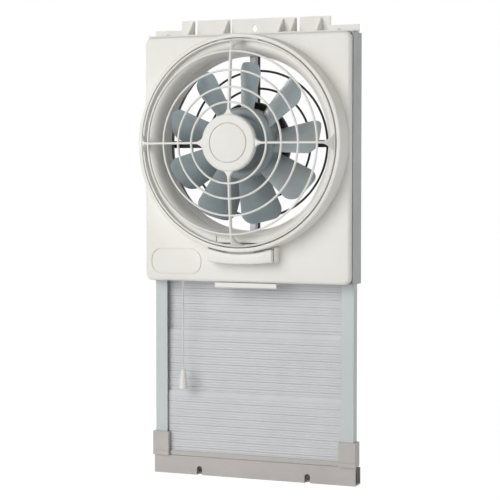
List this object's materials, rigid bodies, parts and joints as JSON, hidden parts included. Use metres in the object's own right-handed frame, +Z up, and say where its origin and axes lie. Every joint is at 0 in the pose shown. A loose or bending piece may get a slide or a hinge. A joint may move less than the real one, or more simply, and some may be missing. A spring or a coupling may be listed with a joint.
{
  "type": "window exhaust fan",
  "caption": "Window exhaust fan: round mouth with domed lift-off guard, bladed rotor and motor in a shallow case, pull-cord switch, on an adjustable rail and board window frame.",
  "frame": {"origin": "middle of the underside of the sill plate", "axes": "+X to the right seen from the room, +Y towards outdoors along the fan's axis, +Z up"},
  "size_m": [0.335, 0.1297, 0.7087],
  "materials": {
    "ivory_plastic": "satin moulded",
    "cap_plastic": "satin moulded",
    "housing_paint": "satin paint",
    "blade_plastic": "satin moulded",
    "screw_steel": "zinc plated",
    "motor_paint": "satin paint",
    "bracket_steel": "zinc plated",
    "guard_plastic": "satin moulded",
    "rail_plastic": "satin extruded",
    "board_plastic": "extruded, ribbed",
    "sill_plastic": "satin moulded",
    "black_plastic": "matt moulded",
    "knob_plastic": "satin moulded",
    "cord_fabric": "braided"
  },
  "bodies": {
    "sill_section": {"sill_plate": "sill_plastic", "left_foot_bracket": "sill_plastic", "right_foot_bracket": "sill_plastic", "left_rail": "rail_plastic", "right_rail": "rail_plastic", "lower_board": "board_plastic", "middle_board": "board_plastic"},
    "fan_unit": {"front_panel": "ivory_plastic", "main_frame": "ivory_plastic", "housing": "housing_paint", "grip_bar": "ivory_plastic", "motor_shell": "motor_paint", "motor_rear_bell": "motor_paint", "motor_bracket": "bracket_steel", "bracket_screw_top": "screw_steel", "bracket_screw_bottom": "screw_steel", "rear_guard": "guard_plastic", "rear_guard_screw_top_left": "screw_steel", "rear_guard_screw_top_right": "screw_steel", "rear_guard_screw_bottom_right": "screw_steel", "rear_guard_screw_bottom_left": "screw_steel", "top_flange": "ivory_plastic", "flange_screw_left": "screw_steel", "flange_screw_right": "screw_steel", "height_screw_left": "black_plastic", "height_screw_right": "black_plastic", "upper_board": "board_plastic", "switch_box": "black_plastic", "capacitor": "black_plastic", "cord_bush": "ivory_plastic", "latch_spring": "screw_steel"},
    "rotor": {"rotor": "blade_plastic", "rotor_nut": "blade_plastic", "motor_shaft": "screw_steel"},
    "front_guard": {"front_guard": "ivory_plastic", "guard_cap_disc": "cap_plastic"},
    "release_latch": {"release_tab": "ivory_plastic"},
    "pull_switch": {"switch_stem": "knob_plastic", "cord_lead": "cord_fabric", "pull_cord": "cord_fabric", "pull_knob": "knob_plastic"}
  },
  "joints": [
    {"name": "height_adjust", "type": "slide", "parent": "sill_section", "child": "fan_unit", "axis": [0, 0, 1], "range_m": [-0.035, 0.075]},
    {"name": "rotor_spin", "type": "hinge", "parent": "fan_unit", "child": "rotor", "pos_m": [0, -0.043, 0.517], "axis": [0, 1, 0], "continuous": true},
    {"name": "guard_tilt", "type": "hinge", "parent": "fan_unit", "child": "front_guard", "pos_m": [0, -0.077, 0.673], "axis": [-1, 0, 0], "range_deg": [0, 28]},
    {"name": "latch_press", "type": "slide", "parent": "fan_unit", "child": "release_latch", "axis": [0, 0, -1], "range_m": [0, 0.005], "stiffness_N_per_m": 600, "springref_m": -0.004, "deforming": ["latch_spring"]},
    {"name": "cord_pull", "type": "slide", "parent": "fan_unit", "child": "pull_switch", "axis": [0, 0, -1], "range_m": [0, 0.018], "stiffness_N_per_m": 300, "springref_m": -0.006}
  ]
}
